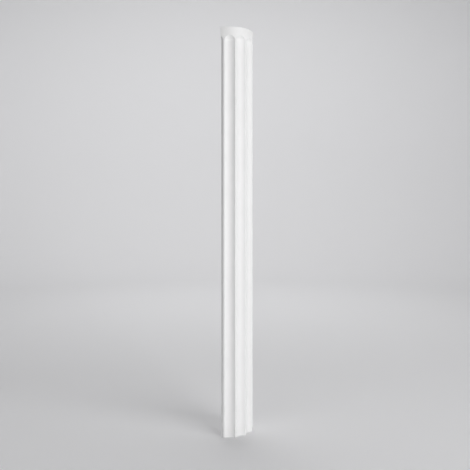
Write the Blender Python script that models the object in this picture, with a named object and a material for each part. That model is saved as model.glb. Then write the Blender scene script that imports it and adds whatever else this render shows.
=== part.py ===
# Half column shaft: a half-round moulding with a flat back, concave flutes that end
# in rounded heads under a plain band at the top, and run out through the flat foot.
# Metres, +Z up. The round front looks along -Y and the flat back along +Y.

import math

import bmesh
import bpy

# Driving dimensions
shaft_length = 2.000       # foot to top
shaft_radius = 0.122       # of the half round, over the fillets and the band
flute_count = 6            # whole flutes round the front
fillet_width = 0.0064      # narrow strip left between two flutes, measured along the round
wall_strip_width = 0.0137  # flute beside the wall, cut short by the flat back
flute_depth = 0.0092       # below the straight line between a flute's two edges
band_height = 0.0405       # plain band, from the top down to the tips of the flute heads
head_height = 0.026        # from where a flute starts to close in, up to its tip

# Facets and working clearances
round_sides = 132          # flat facets along the half round
cutter_sides = 96          # facets round a whole flute cutter
head_rings = 24            # rings of facets from the start of a head to its pole
foot_run_out = 0.020       # how far a flute cutter passes below the foot

# Finish: white primer on a hard moulding
primer_white = (0.86, 0.86, 0.85, 1.0)
primer_roughness = 0.55

# Angles round the axis, worked out from the widths along the round
fillet_angle = fillet_width / shaft_radius
wall_strip_angle = wall_strip_width / shaft_radius
flute_angle = (math.pi - 2 * wall_strip_angle - (flute_count + 1) * fillet_angle) / flute_count
flute_pitch = flute_angle + fillet_angle

# The circle that hollows a flute: through both edges and the deepest point
half_chord = shaft_radius * math.sin(flute_angle / 2)
cutter_radius = (half_chord ** 2 + flute_depth ** 2) / (2 * flute_depth)
chord_distance = shaft_radius * math.cos(flute_angle / 2)
cutter_distance = chord_distance + cutter_radius - flute_depth

# The rounded head: its dome is as tall as the cutter needs for the tip to show head_height
cutter_gap = (cutter_distance - shaft_radius) / cutter_radius
dome_height = head_height / math.sqrt(1 - cutter_gap ** 2)
head_start = shaft_length - band_height - head_height

# The axis of the round lies in the flat back; the origin is under the middle of the box
axis_y = shaft_radius / 2


def clear_scene():
    for item in list(bpy.data.objects):
        bpy.data.objects.remove(item, do_unlink=True)


def primer_material():
    material = bpy.data.materials.new("white_primer")
    material.use_nodes = True
    shader = material.node_tree.nodes["Principled BSDF"]
    shader.inputs["Base Color"].default_value = primer_white
    shader.inputs["Roughness"].default_value = primer_roughness
    shader.inputs["Metallic"].default_value = 0.0
    return material


def add_object(name, bm):
    mesh = bpy.data.meshes.new(name)
    bm.to_mesh(mesh)
    bm.free()
    item = bpy.data.objects.new(name, mesh)
    bpy.context.scene.collection.objects.link(item)
    return item


def half_round(name):
    """The plain half-round bar, before its flutes: a D-shaped face drawn up to the full length."""
    bm = bmesh.new()
    outline = []
    for step in range(round_sides + 1):
        angle = math.pi * step / round_sides
        x = -shaft_radius * math.cos(angle)
        y = axis_y - shaft_radius * math.sin(angle)
        outline.append(bm.verts.new((x, y, 0)))
    foot = bm.faces.new(outline)
    drawn = bmesh.ops.extrude_face_region(bm, geom=[foot])
    top = [v for v in drawn["geom"] if isinstance(v, bmesh.types.BMVert)]
    bmesh.ops.translate(bm, verts=top, vec=(0, 0, shaft_length))
    bmesh.ops.recalc_face_normals(bm, faces=bm.faces)
    return add_object(name, bm)


def flute_cutter(name, turn):
    """A round bar with a domed top, standing where it hollows one flute, turned from the front."""
    bm = bmesh.new()
    profile = [(0, -foot_run_out), (cutter_radius, -foot_run_out)]
    for ring in range(head_rings + 1):
        rise = math.pi / 2 * ring / head_rings
        profile.append((cutter_radius * math.cos(rise), head_start + dome_height * math.sin(rise)))
    corners = [bm.verts.new((0, -x, z)) for x, z in profile]
    lines = [bm.edges.new(pair) for pair in zip(corners, corners[1:])]
    bmesh.ops.spin(bm, geom=corners + lines, cent=(0, 0, 0), axis=(0, 0, 1),
                   angle=2 * math.pi, steps=cutter_sides, use_merge=True)
    bmesh.ops.remove_doubles(bm, verts=bm.verts, dist=0.00001)
    bmesh.ops.recalc_face_normals(bm, faces=bm.faces)
    cutter = add_object(name, bm)
    cutter.location = (cutter_distance * math.sin(turn), axis_y - cutter_distance * math.cos(turn), 0)
    cutter.rotation_euler = (0, 0, turn)
    cutter.hide_render = True
    cutter.display_type = 'WIRE'
    return cutter


def flute_turns():
    """Where each flute's middle lies, from the front; the first and last are cut by the flat back."""
    first = -(flute_count + 1) / 2 * flute_pitch
    return [first + number * flute_pitch for number in range(flute_count + 2)]


def half_column_shaft():
    shaft = half_round("half_column_shaft")
    for number, turn in enumerate(flute_turns()):
        cut = shaft.modifiers.new(f"flute {number}", 'BOOLEAN')
        cut.operation = 'DIFFERENCE'
        cut.solver = 'EXACT'
        cut.object = flute_cutter(f"flute_cutter_{number}", turn)
    shaft.data.materials.append(primer_material())
    shaft.data.shade_smooth()
    shaft.data.set_sharp_from_angle(angle=math.radians(25))
    return shaft


def main():
    clear_scene()
    half_column_shaft()


main()
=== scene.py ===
import math

import bmesh
import bpy
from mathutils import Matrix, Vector


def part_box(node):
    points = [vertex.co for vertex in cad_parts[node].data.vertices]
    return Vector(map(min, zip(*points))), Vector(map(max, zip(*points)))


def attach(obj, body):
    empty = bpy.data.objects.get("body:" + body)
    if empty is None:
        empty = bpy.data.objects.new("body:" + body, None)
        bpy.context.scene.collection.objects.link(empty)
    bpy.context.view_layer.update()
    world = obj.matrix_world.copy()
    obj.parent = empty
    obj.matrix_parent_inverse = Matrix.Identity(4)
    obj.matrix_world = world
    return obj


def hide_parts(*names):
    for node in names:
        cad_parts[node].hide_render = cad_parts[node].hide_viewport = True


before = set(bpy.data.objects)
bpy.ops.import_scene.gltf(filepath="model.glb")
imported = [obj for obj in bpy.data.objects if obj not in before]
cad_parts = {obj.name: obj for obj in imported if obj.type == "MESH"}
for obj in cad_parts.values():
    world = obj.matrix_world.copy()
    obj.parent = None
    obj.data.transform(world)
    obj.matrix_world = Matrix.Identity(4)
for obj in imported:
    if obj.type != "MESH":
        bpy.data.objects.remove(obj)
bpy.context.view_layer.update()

# The plain half round that the flutes are cut in, read off the frame.
# Its axis lies in the flat back, and its front looks along -Y.
shaftLow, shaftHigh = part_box("half_column_shaft")
roundRadius = (shaftHigh.x - shaftLow.x) / 2
shaftLength = shaftHigh.z
backY = shaftHigh.y

samePoint = 0.000001  # points closer than this are one
nearby = 0.00001      # how close a point counts as lying on a line


def deselectAll():
    if bpy.context.mode != 'OBJECT':
        bpy.ops.object.mode_set(mode='OBJECT')
    bpy.ops.object.select_all(action='DESELECT')


def edit(obj):
    deselectAll()
    obj.select_set(True)
    bpy.context.view_layer.objects.active = obj
    bpy.ops.object.mode_set(mode='EDIT')
    bpy.ops.mesh.select_mode(type='VERT')


def selectPoints(obj, wanted):
    bpy.ops.mesh.select_all(action='DESELECT')
    mesh = bmesh.from_edit_mesh(obj.data)
    for v in mesh.verts:
        v.select = wanted(v.co)
    mesh.select_flush(True)
    bmesh.update_edit_mesh(obj.data)


def extrudeEdges(move):
    bpy.ops.mesh.extrude_edges_move(TRANSFORM_OT_translate={"value": move})


def applyModifiers(obj):
    deselectAll()
    obj.select_set(True)
    bpy.context.view_layer.objects.active = obj
    for modifier in list(obj.modifiers):
        bpy.ops.object.modifier_apply(modifier=modifier.name)


# The fluted shaft. One flute is modelled flat, as on a board: its half profile is spun
# through half a turn for the rounded head, and drawn down for the straight run. A row of
# such boards is trimmed at the walls and rolled up into the half round.
flutedShaft = {
    "wholeFlutes": 6,
    "filletWidth": 0.0064,     # along the round
    "wallStripWidth": 0.0137,  # the flute beside the wall, cut short
    "fluteDepth": 0.0092,      # below the straight line between its edges
    "bandHeight": 0.0405,      # from the top to the tips of the heads
    "headHeight": 0.026,
    "arrisRadius": 0.0009,     # soft moulded edge of each fillet
    "endEase": 0.0005,         # softened edge of the top and the foot
    "hollowPoints": 30,
    "arrisPoints": 6,
    "filletPoints": 3,
    "headSteps": 72,
    "straightRows": 24,
    "bandRows": 4,
    "easeRows": 3,
    "smoothUnder": 30,         # degrees between faces
}


def hollowAndFillet(sizes):  # angles that they take up on the round
    fillet = sizes["filletWidth"] / roundRadius
    strip = sizes["wallStripWidth"] / roundRadius
    flutes = sizes["wholeFlutes"]
    hollow = (math.pi - 2 * strip - (flutes + 1) * fillet) / flutes
    return hollow, fillet


def depthAcross(sizes, across):  # below the round, at a distance from the flute's middle
    hollow, fillet = hollowAndFillet(sizes)
    depth = sizes["fluteDepth"]
    halfChord = roundRadius * math.sin(hollow / 2)
    hollowRadius = (halfChord ** 2 + depth ** 2) / (2 * depth)
    hollowCentre = roundRadius * math.cos(hollow / 2) + hollowRadius - depth
    turn = across / roundRadius
    sideways = hollowCentre * math.sin(turn)
    return roundRadius - hollowCentre * math.cos(turn) + math.sqrt(hollowRadius ** 2 - sideways ** 2)


def halfProfile(sizes):  # from a flute's middle to the middle of a fillet: (across, depth)
    hollow, fillet = hollowAndFillet(sizes)
    edge = roundRadius * hollow / 2
    step = edge / 1000  # a short way into the hollow, to find how steep its wall is at the edge
    slope = math.atan((depthAcross(sizes, edge - step) - depthAcross(sizes, edge)) / step)
    ease = sizes["arrisRadius"] * math.tan(slope / 2)
    wallEnd = edge - ease * math.cos(slope)
    flatStart = edge + ease
    filletMiddle = edge + sizes["filletWidth"] / 2
    points = []
    for number in range(sizes["hollowPoints"]):
        across = wallEnd * number / sizes["hollowPoints"]
        points.append((across, depthAcross(sizes, across)))
    for number in range(sizes["arrisPoints"] + 1):
        lean = slope * (1 - number / sizes["arrisPoints"])
        points.append((flatStart - sizes["arrisRadius"] * math.sin(lean),
                       sizes["arrisRadius"] * (1 - math.cos(lean))))
    for number in range(1, sizes["filletPoints"] + 1):
        points.append((flatStart + (filletMiddle - flatStart) * number / sizes["filletPoints"], 0))
    return points


def easedMoves(sizes, way):  # round a cut edge: inwards, and up (1) or down (-1)
    ease = sizes["endEase"]
    leans = [math.pi / 2 * number / sizes["easeRows"] for number in range(sizes["easeRows"] + 1)]
    moves = []
    for lean, nextLean in zip(leans, leans[1:]):
        inwards = ease * (math.cos(lean) - math.cos(nextLean))
        moves.append((0, inwards, way * ease * (math.sin(nextLean) - math.sin(lean))))
    return moves


def fluteBoard(sizes):
    profile = halfProfile(sizes)
    halfWidth = profile[-1][0]
    edge = halfWidth - sizes["filletWidth"] / 2
    headStart = shaftLength - sizes["bandHeight"] - sizes["headHeight"]
    stretch = sizes["headHeight"] / edge
    deselectAll()
    bpy.ops.mesh.primitive_plane_add(size=2 * halfWidth, location=(0, profile[0][1], headStart))
    board = bpy.context.active_object
    bpy.ops.object.transform_apply(location=True)
    edit(board)
    bpy.ops.mesh.select_all(action='SELECT')
    bpy.ops.mesh.merge(type='CENTER')
    for (across, depth), (nextAcross, nextDepth) in zip(profile, profile[1:]):
        bpy.ops.mesh.extrude_vertices_move(
            TRANSFORM_OT_translate={"value": (nextAcross - across, nextDepth - depth, 0)})

    # The head
    bpy.ops.mesh.select_all(action='SELECT')
    bpy.ops.mesh.spin(steps=sizes["headSteps"], angle=math.pi, center=(0, 0, headStart), axis=(0, 1, 0))
    bpy.ops.mesh.select_all(action='SELECT')
    bpy.ops.mesh.remove_doubles(threshold=samePoint)
    bpy.ops.transform.resize(value=(1, 1, stretch), center_override=(0, 0, headStart))

    # The straight run, down to the foot
    selectPoints(board, lambda p: p.z < headStart + nearby)
    rowDrop = (headStart - sizes["endEase"]) / sizes["straightRows"]
    for number in range(sizes["straightRows"]):
        extrudeEdges((0, 0, -rowDrop))
    for move in easedMoves(sizes, -1):
        extrudeEdges(move)

    # The band: the outer arch of the head is drawn up to a level line, and on to the top
    def onOuterArch(p):
        reach = math.hypot(p.x, (p.z - headStart) / stretch)
        return p.z > headStart - nearby and reach > halfWidth - nearby

    bandFoot = headStart + halfWidth * stretch + sizes["filletWidth"] / 2
    selectPoints(board, onOuterArch)
    extrudeEdges((0, 0, 0))
    bpy.ops.transform.resize(value=(1, 1, 0), center_override=(0, 0, bandFoot))
    rowRise = (shaftLength - sizes["endEase"] - bandFoot) / sizes["bandRows"]
    for number in range(sizes["bandRows"]):
        extrudeEdges((0, 0, rowRise))
    for move in easedMoves(sizes, 1):
        extrudeEdges(move)
    return board, 2 * halfWidth


def rollUp(board, boardWidth, sizes):
    boards = sizes["wholeFlutes"] + 2
    bpy.ops.mesh.select_all(action='SELECT')
    bpy.ops.transform.translate(value=(-boardWidth * (boards - 1) / 2, 0, 0))
    deselectAll()
    row = board.modifiers.new("row of flutes", 'ARRAY')
    row.count = boards
    row.use_relative_offset = False
    row.use_constant_offset = True
    row.constant_offset_displace = (boardWidth, 0, 0)
    row.use_merge_vertices = True
    row.merge_threshold = samePoint
    applyModifiers(board)
    edit(board)
    halfRow = roundRadius * math.pi / 2
    for side in (-1, 1):
        bpy.ops.mesh.select_all(action='SELECT')
        bpy.ops.mesh.bisect(plane_co=(side * halfRow, 0, 0), plane_no=(side, 0, 0),
                            clear_outer=True, threshold=samePoint)
    deselectAll()
    bend = board.modifiers.new("roll into a half round", 'SIMPLE_DEFORM')
    bend.deform_method = 'BEND'
    bend.deform_axis = 'Z'
    bend.angle = math.pi
    applyModifiers(board)


def closeEnds(shaft):
    edit(shaft)
    bpy.ops.mesh.select_all(action='SELECT')
    bpy.ops.transform.translate(value=(0, backY - roundRadius, 0))
    for height in (0, shaftLength):
        selectPoints(shaft, lambda p: abs(p.z - height) < nearby)
        bpy.ops.mesh.edge_face_add()
    bpy.ops.mesh.select_all(action='DESELECT')
    bpy.ops.mesh.select_non_manifold(extend=False)
    bpy.ops.mesh.edge_face_add()
    bpy.ops.mesh.select_all(action='SELECT')
    bpy.ops.mesh.normals_make_consistent(inside=False)
    deselectAll()


def makeShaft(sizes):
    shaft, boardWidth = fluteBoard(sizes)
    shaft.name = "flutedShaft"
    rollUp(shaft, boardWidth, sizes)
    closeEnds(shaft)
    shaft.select_set(True)
    bpy.ops.object.shade_smooth_by_angle(angle=math.radians(sizes["smoothUnder"]))
    return shaft


# White primer, sprayed on a smooth moulding and left matt. The flat back has a thinner,
# patchier coat, and the sawn top and foot show faint saw lines under it.
primer = {
    "paleCoat": (0.872, 0.872, 0.868),
    "thinCoat": (0.838, 0.838, 0.834),
    "backCoat": (0.800, 0.797, 0.785),
    "cloudsPerMetre": 14,
    "patchesPerMetre": 45,
    "matt": 0.62,
    "sheen": 0.50,
    "backMatt": 0.80,
    "pimplesPerMetre": 520,
    "pimpleHeight": 0.00004,
    "sawLinesPerMetre": 260,
    "sawWander": 2,
    "sawLineHeight": 0.00012,
    "cutDepth": 0.0002,  # a point this near a cut face lies on it
}


def addNode(tree, kind, **values):
    node = tree.nodes.new(kind)
    for name, value in values.items():
        setattr(node, name, value)
    return node


def noise(tree, place, scale, detail):
    node = addNode(tree, "ShaderNodeTexNoise")
    node.inputs["Scale"].default_value = scale
    node.inputs["Detail"].default_value = detail
    tree.links.new(place, node.inputs["Vector"])
    return node.outputs["Fac"]


def beyond(tree, value, limit, way):  # 1 where the value passes the limit
    node = addNode(tree, "ShaderNodeMath", operation=way)
    node.inputs[1].default_value = limit
    tree.links.new(value, node.inputs[0])
    return node.outputs["Value"]


def mixColours(tree, share, first, second):
    node = addNode(tree, "ShaderNodeMix", data_type='RGBA')
    # Inputs 6 and 7 and output 2 are the node's colour sockets
    for socket, colour in ((node.inputs[6], first), (node.inputs[7], second)):
        if isinstance(colour, tuple):
            socket.default_value = (*colour, 1)
        else:
            tree.links.new(colour, socket)
    tree.links.new(share, node.inputs[0])
    return node.outputs[2]


def mapRange(tree, value, low, high):
    node = addNode(tree, "ShaderNodeMapRange")
    node.inputs["To Min"].default_value = low
    node.inputs["To Max"].default_value = high
    tree.links.new(value, node.inputs["Value"])
    return node.outputs["Result"]


def whitePrimer(finish):
    material = bpy.data.materials.new("whitePrimer")
    material.use_nodes = True
    tree = material.node_tree
    shader = tree.nodes["Principled BSDF"]
    place = addNode(tree, "ShaderNodeTexCoord").outputs["Object"]
    axes = addNode(tree, "ShaderNodeSeparateXYZ")
    tree.links.new(place, axes.inputs["Vector"])

    onBack = beyond(tree, axes.outputs["Y"], backY - finish["cutDepth"], 'GREATER_THAN')
    onFoot = beyond(tree, axes.outputs["Z"], finish["cutDepth"], 'LESS_THAN')
    onTop = beyond(tree, axes.outputs["Z"], shaftLength - finish["cutDepth"], 'GREATER_THAN')
    onEnd = addNode(tree, "ShaderNodeMath", operation='MAXIMUM')
    tree.links.new(onFoot, onEnd.inputs[0])
    tree.links.new(onTop, onEnd.inputs[1])

    clouds = noise(tree, place, finish["cloudsPerMetre"], detail=4)
    patches = noise(tree, place, finish["patchesPerMetre"], detail=6)
    faceColour = mixColours(tree, clouds, finish["thinCoat"], finish["paleCoat"])
    backColour = mixColours(tree, patches, finish["backCoat"], finish["thinCoat"])
    tree.links.new(mixColours(tree, onBack, faceColour, backColour), shader.inputs["Base Color"])

    faceRough = mapRange(tree, clouds, finish["matt"], finish["sheen"])
    roughness = addNode(tree, "ShaderNodeMix")
    tree.links.new(onBack, roughness.inputs["Factor"])
    tree.links.new(faceRough, roughness.inputs["A"])
    roughness.inputs["B"].default_value = finish["backMatt"]
    tree.links.new(roughness.outputs["Result"], shader.inputs["Roughness"])

    pimples = addNode(tree, "ShaderNodeBump")
    pimples.inputs["Distance"].default_value = finish["pimpleHeight"]
    tree.links.new(noise(tree, place, finish["pimplesPerMetre"], detail=3), pimples.inputs["Height"])
    saw = addNode(tree, "ShaderNodeTexWave", bands_direction='X')
    # At a scale of 1 the bands are pi / 10 apart
    saw.inputs["Scale"].default_value = finish["sawLinesPerMetre"] * math.pi / 10
    saw.inputs["Distortion"].default_value = finish["sawWander"]
    tree.links.new(place, saw.inputs["Vector"])
    sawMarks = addNode(tree, "ShaderNodeMath", operation='MULTIPLY')
    tree.links.new(saw.outputs["Fac"], sawMarks.inputs[0])
    tree.links.new(onEnd.outputs["Value"], sawMarks.inputs[1])
    relief = addNode(tree, "ShaderNodeBump")
    relief.inputs["Distance"].default_value = finish["sawLineHeight"]
    tree.links.new(sawMarks.outputs["Value"], relief.inputs["Height"])
    tree.links.new(pimples.outputs["Normal"], relief.inputs["Normal"])
    tree.links.new(relief.outputs["Normal"], shader.inputs["Normal"])
    return material


# A round studio: a pale floor that curves up into a pale wall, open above
studio = {
    "radius": 8.0,
    "wallHeight": 7.0,
    "sweep": 2.5,
    "sides": 128,
    "sweepSteps": 16,
    "paint": (0.82, 0.82, 0.83, 1),
    "matt": 0.9,
    "skyLight": 0.08,
}


def makeStudio(room):
    deselectAll()
    bpy.ops.mesh.primitive_circle_add(vertices=room["sides"], radius=room["radius"], fill_type='NGON')
    walls = bpy.context.active_object
    walls.name = "studioFloor"
    edit(walls)
    bpy.ops.mesh.select_all(action='SELECT')
    bpy.ops.mesh.region_to_loop()
    extrudeEdges((0, 0, room["wallHeight"]))
    selectPoints(walls, lambda p: p.z < nearby)
    bpy.ops.mesh.region_to_loop()
    bpy.ops.mesh.bevel(offset=room["sweep"], segments=room["sweepSteps"], affect='EDGES')
    bpy.ops.mesh.select_all(action='SELECT')
    bpy.ops.mesh.normals_make_consistent(inside=True)
    deselectAll()
    walls.select_set(True)
    bpy.ops.object.shade_smooth()
    paint = bpy.data.materials.new("studioPaint")
    paint.use_nodes = True
    shader = paint.node_tree.nodes["Principled BSDF"]
    shader.inputs["Base Color"].default_value = room["paint"]
    shader.inputs["Roughness"].default_value = room["matt"]
    walls.data.materials.append(paint)

    sky = bpy.data.worlds.new("studioSky")
    sky.use_nodes = True
    sky.node_tree.nodes["Background"].inputs["Color"].default_value = (1, 1, 1, 1)
    sky.node_tree.nodes["Background"].inputs["Strength"].default_value = room["skyLight"]
    bpy.context.scene.world = sky


# The camera stands level, well round to one side of the front
photoView = {
    "azimuth": -71.0,       # degrees; 0 would look along +Y
    "distance": 3.073,      # from the axis of the round
    "eyeHeight": 1.156,
    "pixels": 470,          # width and height of the picture
    "focalPixels": 607.0,   # focal length, in pixels of the picture
    "axisAcross": 228.72,   # where the axis of the round stands, from the picture's left
    "horizonDown": 200.05,  # where the camera's own height lies, from the picture's top
    "sensorWidth": 36.0,    # millimetres
}


def placeCamera(shot):
    turn = math.radians(shot["azimuth"])
    towards = Vector((math.sin(turn), -math.cos(turn), 0))
    lens = bpy.data.cameras.new("photoCamera")
    lens.sensor_width = shot["sensorWidth"]
    lens.lens = shot["sensorWidth"] * shot["focalPixels"] / shot["pixels"]
    middle = shot["pixels"] / 2
    lens.shift_x = (middle - shot["axisAcross"]) / shot["pixels"]
    lens.shift_y = (shot["horizonDown"] - middle) / shot["pixels"]
    camera = bpy.data.objects.new("photoCamera", lens)
    camera.location = towards * shot["distance"] + Vector((0, backY, shot["eyeHeight"]))
    camera.rotation_euler = (math.pi / 2, 0, turn)
    bpy.context.scene.collection.objects.link(camera)
    bpy.context.scene.camera = camera


# Soft boxes, with azimuths as for the camera. The key lights the round front and a weaker one
# opens up the shade; both have a grid, so that they don't burn out the floor next to them.
# The other two light the floor and the wall behind.
softBoxes = {
    "key": {"azimuth": -25, "distance": 6.3, "height": 2.25, "width": 5.5, "tall": 3.9,
            "watts": 140, "spread": 120},
    "sideFill": {"azimuth": -105, "distance": 6.3, "height": 2.25, "width": 4.5, "tall": 3.9,
                 "watts": 26, "spread": 120},
    "overhead": {"azimuth": 109, "distance": 2.2, "height": 6.0, "width": 4.0, "tall": 4.0,
                 "watts": 135, "aimDistance": 1.2, "aimHeight": 0.0},
    "wallWash": {"azimuth": 109, "distance": 3.6, "height": 5.2, "width": 4.0, "tall": 4.0,
                 "watts": 88, "aimDistance": 8.0, "aimHeight": 3.0},
}


def placeSoftBox(name, box):
    turn = math.radians(box["azimuth"])
    outwards = Vector((math.sin(turn), -math.cos(turn), 0))
    light = bpy.data.lights.new(name, 'AREA')
    light.shape = 'RECTANGLE'
    light.size = box["width"]
    light.size_y = box["tall"]
    light.energy = box["watts"]
    light.spread = math.radians(box.get("spread", 180))
    lamp = bpy.data.objects.new(name, light)
    lamp.location = outwards * box["distance"] + Vector((0, 0, box["height"]))
    aimHeight = box.get("aimHeight", shaftLength / 2)
    aimedAt = outwards * box.get("aimDistance", 0) + Vector((0, 0, aimHeight))
    lamp.rotation_euler = (aimedAt - lamp.location).to_track_quat('-Z', 'Y').to_euler()
    lamp.visible_camera = False
    bpy.context.scene.collection.objects.link(lamp)


placeCamera(photoView)
print("camera placed")

shaft = makeShaft(flutedShaft)
shaft.data.materials.append(whitePrimer(primer))
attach(shaft, "root")
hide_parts("half_column_shaft")
print("fluted shaft modelled:", len(shaft.data.polygons), "faces")

makeStudio(studio)
for boxName, boxSizes in softBoxes.items():
    placeSoftBox(boxName, boxSizes)
bpy.context.scene.view_settings.view_transform = 'Standard'
print("studio lit")
